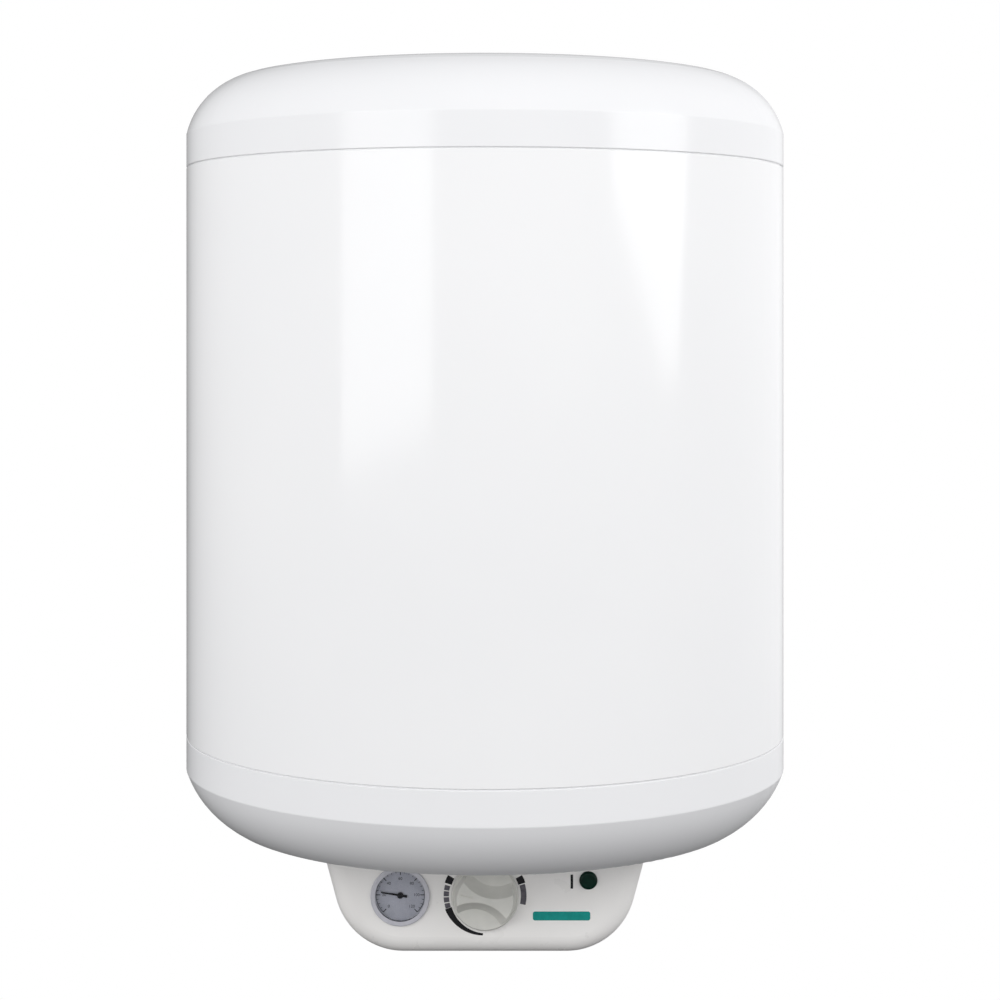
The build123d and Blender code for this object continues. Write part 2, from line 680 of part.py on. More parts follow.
with BuildPart() as thermostat_body:
    with BuildSketch(front_plane(0, KNOB_Z, thermostat_back_v)):
        RectangleRounded(40, 34, 2)
    extrude(amount=thermostat_back_v - panel_back_v - 0.2)
    with BuildSketch(front_plane(0, KNOB_Z, panel_back_v + 1)):
        Circle(BUSHING_R)
    extrude(amount=COVER_T + 4)
    with BuildSketch(front_plane(0, KNOB_Z, -90)):
        Circle(SPINDLE_BORE_R)
    extrude(amount=30, mode=Mode.SUBTRACT)
    with BuildSketch(front_plane(0, KNOB_Z, panel_back_v + 9)):
        with Locations((-14, 0), (14, 0)):
            Circle(2.05)
    extrude(amount=12, mode=Mode.SUBTRACT)
thermostat_body.part.label = "thermostat_body"
export_step(thermostat_body.part, "parts/thermostat_body.step")

with BuildPart() as thermostat_spindle:
    with BuildSketch(front_plane(0, KNOB_Z, -90.3)):
        Circle(SPINDLE_R)
    extrude(amount=25.3)
    # Flat that keys the knob.
    with Locations(spot(0, -116, KNOB_Z + 3.2)):
        Box(8, 14, 2, mode=Mode.SUBTRACT)
thermostat_spindle.part.label = "thermostat_spindle"
export_step(thermostat_spindle.part, "parts/thermostat_spindle.step")

knob_back_v = COVER_FRONT_V - 0.8
disc_front_v = knob_back_v - 5
knob_front_v = disc_front_v - 9

with BuildPart() as thermostat_knob:
    with BuildSketch(front_plane(0, KNOB_Z, disc_front_v + 0.5)):
        Circle(22)
    extrude(amount=9.5, taper=12)
    # A round finger scoop above and below leaves the grip between them.
    for side in (1, -1):
        scoop_x = side * SCOOP_OFFSET * sin(radians(GRIP_ANGLE))
        scoop_z = KNOB_Z + side * SCOOP_OFFSET * cos(radians(GRIP_ANGLE))
        with Locations(spot(scoop_x, knob_front_v - SCOOP_AHEAD, scoop_z)):
            Sphere(SCOOP_R, mode=Mode.SUBTRACT)
    fillet(thermostat_knob.faces().sort_by(Axis.Y)[0].edges(), 0.9)
    with BuildSketch(front_plane(0, KNOB_Z, knob_back_v)):
        Circle(KNOB_R)
    extrude(amount=3.5)
    with BuildSketch(front_plane(0, KNOB_Z, knob_back_v - 3.5)):
        Circle(KNOB_R)
    extrude(amount=1.5, taper=35)
    # Hollow back that clears the fixing screws, leaving a central hub.
    with BuildSketch(front_plane(0, KNOB_Z, knob_back_v + 1)):
        Circle(21)
        Circle(6.5, mode=Mode.SUBTRACT)
    extrude(amount=4.2, mode=Mode.SUBTRACT)
    with BuildSketch(front_plane(0, KNOB_Z, knob_back_v + 1)):
        Circle(BUSHING_R + 0.3)
    extrude(amount=4.6, mode=Mode.SUBTRACT)
    with BuildSketch(front_plane(0, KNOB_Z, knob_back_v - 3.6)) as d_bore:
        Circle(SPINDLE_R + 0.05)
        with Locations((0, 3.2)):
            Rectangle(8, 1.9, mode=Mode.SUBTRACT)
    extrude(amount=6.6, mode=Mode.SUBTRACT)
    # Pointer groove on the left end of the grip.
    with BuildSketch(front_plane(0, KNOB_Z, knob_front_v + 0.8)):
        with Locations((-13.5 * cos(radians(GRIP_ANGLE)), 13.5 * sin(radians(GRIP_ANGLE)))):
            Rectangle(9, 1.2, rotation=-GRIP_ANGLE)
    extrude(amount=2, mode=Mode.SUBTRACT)
thermostat_knob.part.label = "thermostat_knob"
export_step(thermostat_knob.part, "parts/thermostat_knob.step")

with BuildPart() as thermostat_screws:
    with BuildSketch(front_plane(0, KNOB_Z, COVER_FRONT_V)):
        with Locations((-14, 0), (14, 0)):
            Circle(3.8)
    extrude(amount=2.2)
    chamfer(thermostat_screws.faces().group_by(Axis.Y)[0].edges(), 0.6)
    with BuildSketch(front_plane(0, KNOB_Z, COVER_FRONT_V + 10)):
        with Locations((-14, 0), (14, 0)):
            Circle(1.95)
    extrude(amount=10)
    with BuildSketch(front_plane(0, KNOB_Z, COVER_FRONT_V - 1.2)):
        with Locations((-14, 0), (14, 0)):
            Rectangle(4.2, 0.9)
            Rectangle(0.9, 4.2)
    extrude(amount=1.2, mode=Mode.SUBTRACT)
thermostat_screws.part.label = "thermostat_screws"
export_step(thermostat_screws.part, "parts/thermostat_screws.step")

thermostat_line = capillary_line(-90, [
    spot(0, POCKET_V - BULB_OFFSET, -386), spot(0, thermostat_back_v + 0.1, -386),
])
with BuildPart() as thermostat_capillary:
    add(thermostat_line)
thermostat_capillary.part.label = "thermostat_capillary"
export_step(thermostat_capillary.part, "parts/thermostat_capillary.step")

# ------------------------------------------------------------- safety cut-out

with BuildPart() as cutout_body:
    with Locations(spot(CUTOUT_X, CUTOUT_V, -395)):
        Box(30, 26, 18)
    fillet(cutout_body.edges().filter_by(Axis.Z), 2)
    with Locations(spot(CUTOUT_X, CUTOUT_V, -397.75)):
        Cylinder(3.8, 4.5, mode=Mode.SUBTRACT)
    with Locations(spot(CUTOUT_X, CUTOUT_V, -402)):
        Cylinder(BUTTON_R + 0.05, 8, mode=Mode.SUBTRACT)
cutout_body.part.label = "cutout_body"
export_step(cutout_body.part, "parts/cutout_body.step")

with BuildPart() as reset_button:
    with Locations(spot(CUTOUT_X, CUTOUT_V, -404.5)):
        Cylinder(BUTTON_R, 12)
    with Locations(spot(CUTOUT_X, CUTOUT_V, -399.05)):
        Cylinder(3.5, 1.5)
    fillet(reset_button.faces().sort_by(Axis.Z)[0].edges(), 0.6)
reset_button.part.label = "reset_button"
export_step(reset_button.part, "parts/reset_button.step")

with BuildPart() as cutout_bracket:
    with Locations(spot(CUTOUT_X, CUTOUT_V + 14.2, -383.85)):
        Box(30, 1.5, 40.3)
    with Locations(spot(CUTOUT_X + 8, CUTOUT_V + 7 + 14.2, -364.45)):
        Box(14, 15.5, 1.5)
cutout_bracket.part.label = "cutout_bracket"
export_step(cutout_bracket.part, "parts/cutout_bracket.step")

cutout_line = capillary_line(30, [
    spot(BULB_OFFSET * cos(radians(30)), POCKET_V + BULB_OFFSET / 2, -376),
    spot(CUTOUT_X, -10, -376), spot(CUTOUT_X, CUTOUT_V - 4, -376),
    spot(CUTOUT_X, CUTOUT_V - 4, -385.9),
])
with BuildPart() as cutout_capillary:
    add(cutout_line)
cutout_capillary.part.label = "cutout_capillary"
export_step(cutout_capillary.part, "parts/cutout_capillary.step")

# ------------------------------------------------------------ dial thermometer

case_back_v = -90.0
dial_v = -101.0

with BuildPart() as gauge_case:
    with BuildSketch(front_plane(GAUGE_X, GAUGE_Z, case_back_v)):
        Circle(GAUGE_CASE_R)
    extrude(amount=case_back_v - COVER_FRONT_V)
    with BuildSketch(front_plane(GAUGE_X, GAUGE_Z, case_back_v - 1.2)):
        Circle(GAUGE_CASE_R - 1.2)
        Circle(9, mode=Mode.SUBTRACT)
    extrude(amount=20, mode=Mode.SUBTRACT)
    with BuildSketch(front_plane(GAUGE_X, GAUGE_Z, dial_v)):
        Circle(9)
    extrude(amount=20, mode=Mode.SUBTRACT)
    with BuildSketch(front_plane(GAUGE_X, GAUGE_Z, dial_v + 6)):
        Circle(0.65)
    extrude(amount=10, mode=Mode.SUBTRACT)
gauge_case.part.label = "gauge_case"
export_step(gauge_case.part, "parts/gauge_case.step")

with BuildPart() as gauge_dial:
    with BuildSketch(front_plane(GAUGE_X, GAUGE_Z, dial_v)):
        Circle(18.5)
        Circle(0.8, mode=Mode.SUBTRACT)
    extrude(amount=0.5)
gauge_dial.part.label = "gauge_dial"
export_step(gauge_dial.part, "parts/gauge_dial.step")

# The needle's own upward axis is turned clockwise to the reading.
reading = radians(GAUGE_READING_ANGLE)
needle_plane = Plane(origin=spot(GAUGE_X, -102.8, GAUGE_Z),
                     x_dir=(cos(reading), 0, -sin(reading)), z_dir=(0, -1, 0))

with BuildPart() as gauge_needle:
    with BuildSketch(needle_plane):
        with BuildLine():
            Polyline((-0.9, -5), (0.9, -5), (0.35, 14), (-0.35, 14), close=True)
        make_face()
    extrude(amount=0.6)
    with BuildSketch(front_plane(GAUGE_X, GAUGE_Z, -102.4)):
        Circle(2.2)
    extrude(amount=1.4)
    with BuildSketch(front_plane(GAUGE_X, GAUGE_Z, dial_v + 5.5)):
        Circle(0.6)
    extrude(amount=7.5)
gauge_needle.part.label = "gauge_needle"
export_step(gauge_needle.part, "parts/gauge_needle.step")

with BuildPart() as gauge_lens:
    with BuildSketch(front_plane(GAUGE_X, GAUGE_Z, COVER_FRONT_V - 0.2)):
        Circle(18.6)
    extrude(amount=1.3)
gauge_lens.part.label = "gauge_lens"
export_step(gauge_lens.part, "parts/gauge_lens.step")

with BuildPart() as gauge_bezel:
    with BuildSketch(front_plane(GAUGE_X, GAUGE_Z, COVER_FRONT_V)):
        Circle(21.2)
        Circle(18.8, mode=Mode.SUBTRACT)
    extrude(amount=2.2)
    with BuildSketch(front_plane(GAUGE_X, GAUGE_Z, COVER_FRONT_V - 1.6)):
        Circle(20)
        Circle(17.9, mode=Mode.SUBTRACT)
    extrude(amount=0.6)
    fillet(gauge_bezel.faces().sort_by(Axis.Y)[0].outer_wire().edges(), 0.8)
gauge_bezel.part.label = "gauge_bezel"
export_step(gauge_bezel.part, "parts/gauge_bezel.step")

with BuildPart() as gauge_retainer:
    with BuildSketch(front_plane(GAUGE_X, GAUGE_Z, panel_back_v + 1.8)):
        Circle(24)
        Circle(GAUGE_CASE_R + 0.15, mode=Mode.SUBTRACT)
    extrude(amount=1.6)
gauge_retainer.part.label = "gauge_retainer"
export_step(gauge_retainer.part, "parts/gauge_retainer.step")

gauge_line = capillary_line(150, [
    spot(-BULB_OFFSET * cos(radians(30)), POCKET_V + BULB_OFFSET / 2, -378),
    spot(GAUGE_X, -40, -378), spot(GAUGE_X, -40, GAUGE_Z),
    spot(GAUGE_X, case_back_v + 0.1, GAUGE_Z),
])
with BuildPart() as gauge_capillary:
    add(gauge_line)
gauge_capillary.part.label = "gauge_capillary"
export_step(gauge_capillary.part, "parts/gauge_capillary.step")

# -------------------------------------------------------------- indicator lamp

with BuildPart() as lamp_lens:
    with BuildSketch(front_plane(LAMP_X, LAMP_Z, COVER_FRONT_V)):
        Circle(6.5)
    extrude(amount=2.5)
    fillet(lamp_lens.faces().sort_by(Axis.Y)[0].edges(), 1.8)
lamp_lens.part.label = "lamp_lens"
export_step(lamp_lens.part, "parts/lamp_lens.step")

with BuildPart() as lamp_body:
    with BuildSketch(front_plane(LAMP_X, LAMP_Z, COVER_FRONT_V + 25)):
        Circle(4.9)
    extrude(amount=25)
lamp_body.part.label = "lamp_body"
export_step(lamp_body.part, "parts/lamp_body.step")

with BuildPart() as lamp_clip:
    with BuildSketch(front_plane(LAMP_X, LAMP_Z, panel_back_v + 1.7)):
        Circle(8)
        Circle(5.0, mode=Mode.SUBTRACT)
    extrude(amount=1.5)
lamp_clip.part.label = "lamp_clip"
export_step(lamp_clip.part, "parts/lamp_clip.step")

# ------------------------------------------------------------ mains connection

with BuildPart() as terminal_block:
    with Locations(spot(TERMINAL_X, TERMINAL_V, -400)):
        Box(30, 18, 14)
    fillet(terminal_block.edges().filter_by(Axis.Z), 1.5)
    # Clamp screw wells, reached from below.
    with BuildSketch(level_plane(-408)):
        with Locations((TERMINAL_X - 9, TERMINAL_V), (TERMINAL_X, TERMINAL_V),
                       (TERMINAL_X + 9, TERMINAL_V)):
            Circle(2.8)
    extrude(amount=6, mode=Mode.SUBTRACT)
terminal_block.part.label = "terminal_block"
export_step(terminal_block.part, "parts/terminal_block.step")

with BuildPart() as terminal_bracket:
    with Locations(spot(TERMINAL_X, TERMINAL_V, -392)):
        Box(30, 14, 1.5)
    with Locations(spot(TERMINAL_X - 14.25, TERMINAL_V, -378.2)):
        Box(1.5, 14, 29.1)
    with Locations(spot(TERMINAL_X - 20.5, TERMINAL_V, -364.4)):
        Box(14, 14, 1.5)
terminal_bracket.part.label = "terminal_bracket"
export_step(terminal_bracket.part, "parts/terminal_bracket.step")

with BuildPart() as cable_gland:
    with BuildSketch(front_plane(0, GLAND_Z, COVER_BACK_V + 5)):
        RegularPolygon(11, 6, major_radius=False)
    extrude(amount=5)
    with BuildSketch(front_plane(0, GLAND_Z, COVER_BACK_V + 11)):
        Circle(8)
    extrude(amount=24)
    with BuildSketch(front_plane(0, GLAND_Z, COVER_BACK_V + 12)):
        Circle(CABLE_R + 0.3)
    extrude(amount=26, mode=Mode.SUBTRACT)
cable_gland.part.label = "cable_gland"
export_step(cable_gland.part, "parts/cable_gland.step")

with BuildPart() as gland_nut:
    with BuildSketch(front_plane(0, GLAND_Z, COVER_BACK_V + 18)):
        Circle(10.5)
    extrude(amount=12.8)
    fillet(gland_nut.faces().sort_by(Axis.Y)[-1].edges(), 2.5)
    with BuildSketch(front_plane(0, GLAND_Z, COVER_BACK_V + 11.3)):
        Circle(8.15)
    extrude(amount=10, mode=Mode.SUBTRACT)
    with BuildSketch(front_plane(0, GLAND_Z, COVER_BACK_V + 20)):
        Circle(CABLE_R)
    extrude(amount=12, mode=Mode.SUBTRACT)
gland_nut.part.label = "gland_nut"
export_step(gland_nut.part, "parts/gland_nut.step")

with BuildPart() as gland_locknut:
    with BuildSketch(front_plane(0, GLAND_Z, COVER_BACK_V - COVER_T)):
        RegularPolygon(11, 6, major_radius=False)
        Circle(8.15, mode=Mode.SUBTRACT)
    extrude(amount=5)
gland_locknut.part.label = "gland_locknut"
export_step(gland_locknut.part, "parts/gland_locknut.step")

# ------------------------------------------------------------- internal wiring

terminal_front_v = TERMINAL_V - 9.1
terminal_right_x = TERMINAL_X + 15.1
cutout_front_v = CUTOUT_V - 13.1
live_wires = [
    bent_rod([
        spot(-52, terminal_front_v, -400), spot(-52, -45, -400),
        spot(-12, -58, -390), spot(-12, thermostat_back_v + 0.6, -390),
    ], 1.1, 4),
    bent_rod([
        spot(12, thermostat_back_v + 0.6, -390), spot(12, -58, -398),
        spot(52, -45, -398), spot(52, cutout_front_v, -398),
    ], 1.1, 4),
    bent_rod([
        spot(CUTOUT_X - 15.1, 12, -392), spot(LEG_X, 12, -392),
        spot(LEG_X, LEG_V, -385.4),
    ], 1.1, 3),
]
with BuildPart() as live_wiring:
    for wire in live_wires:
        add(wire)
live_wiring.part.label = "live_wiring"
export_step(live_wiring.part, "parts/live_wiring.step")

neutral_run = bent_rod([
    spot(terminal_right_x, 24, -398), spot(-LEG_X, 24, -398),
    spot(-LEG_X, LEG_V, -391), spot(-LEG_X, LEG_V, -385.4),
], 1.1, 3)
with BuildPart() as neutral_wire:
    add(neutral_run)
neutral_wire.part.label = "neutral_wire"
export_step(neutral_wire.part, "parts/neutral_wire.step")

earth_run = bent_rod([
    spot(-50, TERMINAL_V + 9.1, -400), spot(-50, 50, -400),
    spot(-12, STUD_CIRCLE_R, -392), spot(0, STUD_CIRCLE_R, -384),
    spot(0, STUD_CIRCLE_R, plate_z - NUT_H - 2.6),
], 1.1, 3)
with BuildPart() as earth_wire:
    add(earth_run)
earth_wire.part.label = "earth_wire"
export_step(earth_wire.part, "parts/earth_wire.step")

lamp_back_v = COVER_FRONT_V + 25.1
lamp_leads = [
    bent_rod([
        spot(72.2, lamp_back_v, LAMP_Z), spot(72.2, -30, LAMP_Z),
        spot(64, -12, -394), spot(64, cutout_front_v, -394),
    ], 0.8, 3),
    bent_rod([
        spot(75.2, lamp_back_v, LAMP_Z), spot(75.2, -30, LAMP_Z),
        spot(70, -12, -398), spot(70, cutout_front_v, -398),
    ], 0.8, 3),
]
with BuildPart() as lamp_wires:
    for lead in lamp_leads:
        add(lead)
lamp_wires.part.label = "lamp_wires"
export_step(lamp_wires.part, "parts/lamp_wires.step")
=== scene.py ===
"""Looks of a wall-hung tank water heater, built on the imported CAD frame. Metres."""

import math

import bmesh
import bpy
from mathutils import Matrix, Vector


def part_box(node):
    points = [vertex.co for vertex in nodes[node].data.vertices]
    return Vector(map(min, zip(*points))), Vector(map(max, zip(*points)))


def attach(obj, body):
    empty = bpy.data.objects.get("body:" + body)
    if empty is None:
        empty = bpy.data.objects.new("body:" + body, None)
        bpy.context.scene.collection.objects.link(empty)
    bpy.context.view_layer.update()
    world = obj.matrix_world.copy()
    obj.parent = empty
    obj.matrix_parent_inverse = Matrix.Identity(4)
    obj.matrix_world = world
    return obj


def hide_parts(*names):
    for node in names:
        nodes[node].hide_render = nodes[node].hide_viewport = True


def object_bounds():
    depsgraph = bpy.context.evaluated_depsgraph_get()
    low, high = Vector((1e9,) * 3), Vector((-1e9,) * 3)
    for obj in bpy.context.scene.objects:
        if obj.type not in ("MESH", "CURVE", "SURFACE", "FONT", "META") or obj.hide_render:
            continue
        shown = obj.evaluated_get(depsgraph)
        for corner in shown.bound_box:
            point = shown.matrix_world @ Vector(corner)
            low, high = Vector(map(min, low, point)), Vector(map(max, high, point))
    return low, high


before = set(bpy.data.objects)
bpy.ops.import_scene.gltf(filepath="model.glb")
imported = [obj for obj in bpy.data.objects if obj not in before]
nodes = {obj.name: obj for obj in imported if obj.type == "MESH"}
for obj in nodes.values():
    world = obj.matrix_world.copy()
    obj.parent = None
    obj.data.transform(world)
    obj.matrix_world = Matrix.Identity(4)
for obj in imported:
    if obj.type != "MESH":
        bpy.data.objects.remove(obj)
cad_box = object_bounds()
MM = 0.001


def middle(node):
    """Middle of a node's box at rest."""
    low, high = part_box(node)
    return (low + high) / 2


AXIS_Y = middle("tank_shell").y
KNOB = middle("thermostat_knob")
GAUGE = middle("gauge_dial")
LAMP = middle("lamp_lens")
PANEL_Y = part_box("gauge_bezel")[1].y


# ------------------------------------------------------------------- materials

def new_material(name):
    """Empty node material with a Principled shader wired to its output."""
    mat = bpy.data.materials.new(name)
    mat.use_nodes = True
    tree = mat.node_tree
    tree.nodes.clear()
    out = tree.nodes.new("ShaderNodeOutputMaterial")
    shader = tree.nodes.new("ShaderNodeBsdfPrincipled")
    tree.links.new(shader.outputs["BSDF"], out.inputs["Surface"])
    return mat, tree, shader


def object_coords(tree, scale=(1, 1, 1)):
    """Position on the object, stretched by a scale along each axis."""
    coords = tree.nodes.new("ShaderNodeTexCoord")
    mapping = tree.nodes.new("ShaderNodeMapping")
    mapping.inputs["Scale"].default_value = scale
    tree.links.new(coords.outputs["Object"], mapping.inputs["Vector"])
    return mapping.outputs["Vector"]


def noise(tree, vector, scale, detail=3.0, roughness=0.55):
    """Noise from 0 to 1, with scale spots to the metre."""
    tex = tree.nodes.new("ShaderNodeTexNoise")
    tex.inputs["Scale"].default_value = scale
    tex.inputs["Detail"].default_value = detail
    tex.inputs["Roughness"].default_value = roughness
    tree.links.new(vector, tex.inputs["Vector"])
    return tex.outputs["Fac"]


def remap(tree, value, low, high, start=0.3, end=0.7):
    """Takes a value from the range start to end onto low to high, and stops there."""
    node = tree.nodes.new("ShaderNodeMapRange")
    node.inputs["From Min"].default_value = start
    node.inputs["From Max"].default_value = end
    node.inputs["To Min"].default_value = low
    node.inputs["To Max"].default_value = high
    tree.links.new(value, node.inputs["Value"])
    return node.outputs["Result"]


def two_tone(tree, factor, dark, light, start=0.35, end=0.65):
    """Colour between dark, at start, and light, at end."""
    ramp = tree.nodes.new("ShaderNodeValToRGB")
    ramp.color_ramp.elements[0].position = start
    ramp.color_ramp.elements[0].color = (*dark, 1)
    ramp.color_ramp.elements[1].position = end
    ramp.color_ramp.elements[1].color = (*light, 1)
    tree.links.new(factor, ramp.inputs["Fac"])
    return ramp.outputs["Color"]


def bump(tree, height, strength, distance):
    """Normal of a surface raised by a height from 0 to 1."""
    node = tree.nodes.new("ShaderNodeBump")
    node.inputs["Strength"].default_value = strength
    node.inputs["Distance"].default_value = distance
    tree.links.new(height, node.inputs["Height"])
    return node.outputs["Normal"]


# Smears in a surface's gloss are this much finer than the patches in its colour.
SMEAR_FINENESS = 2.7


def surface(name, dark, light, rough, tone_scale=30, grain=1500, grain_depth=0.00002,
            grain_strength=0.3, stretch=(1, 1, 1), metallic=0.0, specular=0.5):
    """Surface with slow colour drift, uneven roughness and a fine grain."""
    mat, tree, shader = new_material(name)
    where = object_coords(tree, stretch)
    drift = noise(tree, where, tone_scale)
    tree.links.new(two_tone(tree, drift, dark, light), shader.inputs["Base Color"])
    smear = noise(tree, where, tone_scale * SMEAR_FINENESS, detail=5)
    tree.links.new(remap(tree, smear, rough[0], rough[1]), shader.inputs["Roughness"])
    fine = noise(tree, where, grain, detail=2)
    tree.links.new(bump(tree, fine, grain_strength, grain_depth), shader.inputs["Normal"])
    shader.inputs["Metallic"].default_value = metallic
    shader.inputs["Specular IOR Level"].default_value = specular
    return mat


enamel = surface("enamel_white", (0.870, 0.872, 0.876), (0.888, 0.889, 0.891), (0.10, 0.16),
                 tone_scale=4, grain=420, grain_depth=0.00003, grain_strength=0.10)
# The caps' white is a few percent darker than the enamel's: part real white plastic, part
# painted shade that stands in for the dimmer light on the domes.
cap_white_painted_shade = surface("cap_white_painted_shade", (0.830, 0.833, 0.842), (0.847, 0.850, 0.858), (0.13, 0.19),
                    tone_scale=5, grain=600, grain_depth=0.00003, grain_strength=0.10)
cover_white = surface("cover_white", (0.855, 0.842, 0.820), (0.880, 0.868, 0.848), (0.26, 0.36),
                      tone_scale=16, grain=1200, grain_depth=0.00003, grain_strength=0.12)
bracket_white = surface("bracket_white", (0.70, 0.71, 0.72), (0.76, 0.77, 0.78), (0.34, 0.48),
                        tone_scale=25, grain=1400, grain_depth=0.00004, grain_strength=0.3)
galvanised = surface("galvanised_steel", (0.44, 0.45, 0.47), (0.62, 0.63, 0.65), (0.28, 0.46),
                     tone_scale=90, grain=900, metallic=1.0)
zinc = surface("zinc_steel", (0.55, 0.56, 0.59), (0.72, 0.73, 0.75), (0.22, 0.36),
               tone_scale=160, grain=2200, metallic=1.0)
stainless = surface("stainless_steel", (0.50, 0.50, 0.50), (0.62, 0.62, 0.61), (0.20, 0.34),
                    tone_scale=60, grain=900, stretch=(1, 1, 12), metallic=1.0)
brass = surface("yellow_brass", (0.62, 0.44, 0.17), (0.76, 0.58, 0.26), (0.24, 0.36),
                tone_scale=120, grain=2000, metallic=1.0)
copper = surface("copper_tube", (0.60, 0.27, 0.15), (0.76, 0.40, 0.25), (0.22, 0.38),
                 tone_scale=120, grain=2000, metallic=1.0)
magnesium = surface("cast_magnesium", (0.42, 0.42, 0.43), (0.55, 0.55, 0.56), (0.45, 0.65),
                    tone_scale=110, grain=900, grain_depth=0.0001, metallic=1.0)
tank_glaze = surface("tank_glaze", (0.020, 0.035, 0.080), (0.035, 0.055, 0.115), (0.12, 0.22),
                     tone_scale=40, grain=500, grain_depth=0.00006)
foam = surface("rigid_foam", (0.62, 0.50, 0.24), (0.74, 0.63, 0.36), (0.85, 0.95),
               tone_scale=45, grain=700, grain_depth=0.0004, grain_strength=0.6)
rubber = surface("black_rubber", (0.018, 0.018, 0.019), (0.032, 0.032, 0.034), (0.60, 0.75),
                 tone_scale=90, grain=1800)
cold_blue = surface("cold_blue", (0.010, 0.060, 0.38), (0.016, 0.085, 0.46), (0.35, 0.48),
                    tone_scale=90, grain=2400)
hot_red = surface("hot_red", (0.42, 0.012, 0.012), (0.52, 0.020, 0.018), (0.35, 0.48),
                  tone_scale=90, grain=2400)
nylon = surface("white_nylon", (0.70, 0.69, 0.65), (0.78, 0.77, 0.73), (0.45, 0.60),
                tone_scale=90, grain=2400)
black_plastic = surface("black_plastic", (0.016, 0.016, 0.018), (0.030, 0.030, 0.032),
                        (0.40, 0.55), tone_scale=120, grain=2600)
reset_red = surface("reset_red", (0.50, 0.015, 0.012), (0.60, 0.025, 0.020), (0.22, 0.32),
                    tone_scale=200, grain=2600)
knob_grey = surface("knob_grey", (0.600, 0.600, 0.560), (0.650, 0.646, 0.605), (0.34, 0.46),
                    tone_scale=70, grain=2800, grain_depth=0.00003, grain_strength=0.25)
dial_grey = surface("dial_grey", (0.480, 0.480, 0.530), (0.530, 0.530, 0.580), (0.40, 0.52),
                    tone_scale=150, grain=3000)
ink_black = surface("ink_black", (0.004, 0.004, 0.005), (0.012, 0.012, 0.015), (0.38, 0.50),
                    tone_scale=400, grain=3000, specular=0.2)
ink_grey = surface("ink_grey", (0.085, 0.080, 0.095), (0.125, 0.120, 0.138), (0.38, 0.50),
                   tone_scale=400, grain=3000, specular=0.3)
ink_teal = surface("ink_teal", (0.001, 0.245, 0.215), (0.004, 0.285, 0.250), (0.34, 0.46),
                   tone_scale=300, grain=3000, specular=0.25)
bezel_grey = surface("bezel_grey", (0.500, 0.500, 0.545), (0.550, 0.550, 0.595), (0.26, 0.38),
                     tone_scale=150, grain=2600)
ceramic = surface("terminal_ceramic", (0.66, 0.64, 0.58), (0.74, 0.72, 0.66), (0.25, 0.40),
                  tone_scale=120, grain=2000)
gland_grey = surface("gland_grey", (0.22, 0.23, 0.24), (0.28, 0.29, 0.30), (0.42, 0.56),
                     tone_scale=120, grain=2400)
wire_brown = surface("wire_brown", (0.045, 0.018, 0.008), (0.065, 0.028, 0.012), (0.30, 0.42),
                     tone_scale=200, grain=2600)
wire_blue = surface("wire_blue", (0.008, 0.050, 0.33), (0.014, 0.070, 0.42), (0.30, 0.42),
                    tone_scale=200, grain=2600)
wire_black = surface("wire_black", (0.012, 0.012, 0.013), (0.024, 0.024, 0.026), (0.30, 0.42),
                     tone_scale=200, grain=2600)


def striped_wire():
    """Green sheath with yellow bands."""
    mat, tree, shader = new_material("wire_green_yellow")
    where = object_coords(tree)
    wave = tree.nodes.new("ShaderNodeTexWave")
    wave.inputs["Scale"].default_value = 60
    wave.inputs["Distortion"].default_value = 0.3
    tree.links.new(where, wave.inputs["Vector"])
    tree.links.new(two_tone(tree, wave.outputs["Fac"], (0.02, 0.20, 0.03), (0.62, 0.50, 0.02),
                            0.48, 0.52), shader.inputs["Base Color"])
    fine = noise(tree, where, 2600)
    tree.links.new(remap(tree, fine, 0.30, 0.42), shader.inputs["Roughness"])
    tree.links.new(bump(tree, fine, 0.3, 0.00002), shader.inputs["Normal"])
    return mat


def lamp_green():
    """Dark green lens, faintly mottled."""
    mat, tree, shader = new_material("lamp_green")
    where = object_coords(tree)
    drift = noise(tree, where, 300)
    tree.links.new(two_tone(tree, drift, (0.000, 0.013, 0.007), (0.000, 0.022, 0.013)),
                   shader.inputs["Base Color"])
    tree.links.new(remap(tree, drift, 0.14, 0.22), shader.inputs["Roughness"])
    tree.links.new(bump(tree, noise(tree, where, 900), 0.3, 0.0001), shader.inputs["Normal"])
    shader.inputs["Specular IOR Level"].default_value = 0.15
    return mat


def clear_glass():
    """Thin clear cover glass."""
    mat, tree, shader = new_material("clear_glass")
    where = object_coords(tree)
    dust = noise(tree, where, 700, detail=4)
    tree.links.new(remap(tree, dust, 0.03, 0.09), shader.inputs["Roughness"])
    tree.links.new(two_tone(tree, dust, (0.90, 0.92, 0.95), (0.97, 0.98, 0.99)),
                   shader.inputs["Base Color"])
    shader.inputs["Transmission Weight"].default_value = 1.0
    shader.inputs["IOR"].default_value = 1.2
    return mat


def paint(mat, *names):
    """Gives CAD nodes one material."""
    for name in names:
        data = nodes[name].data
        data.materials.clear()
        data.materials.append(mat)


paint(enamel, "jacket")
paint(cap_white_painted_shade, "top_cap", "bottom_cap")
paint(cover_white, "control_cover")
paint(bracket_white, "upper_wall_bracket", "lower_wall_bracket")
paint(foam, "foam_insulation")
paint(tank_glaze, "tank_shell", "tank_top_end", "tank_bottom_end")
paint(galvanised, "flange_ring", "flange_plate", "cutout_bracket", "terminal_bracket",
      "gauge_retainer")
paint(rubber, "flange_gasket")
paint(zinc, "flange_studs", "flange_nuts", "anode_stud", "cover_screws", "thermostat_screws",
      "element_terminals", "lamp_clip", "cover_posts", "thermostat_spindle",
      "cold_inlet_nipple", "hot_outlet_nipple")
paint(stainless, "heating_element", "sensor_pocket", "outlet_tube", "gauge_case")
paint(brass, "element_bushes")
paint(magnesium, "anode_rod")
paint(cold_blue, "cold_collar")
paint(hot_red, "hot_collar")
paint(nylon, "inlet_diffuser")
paint(black_plastic, "thermostat_body", "cutout_body", "lamp_body")
paint(reset_red, "reset_button")
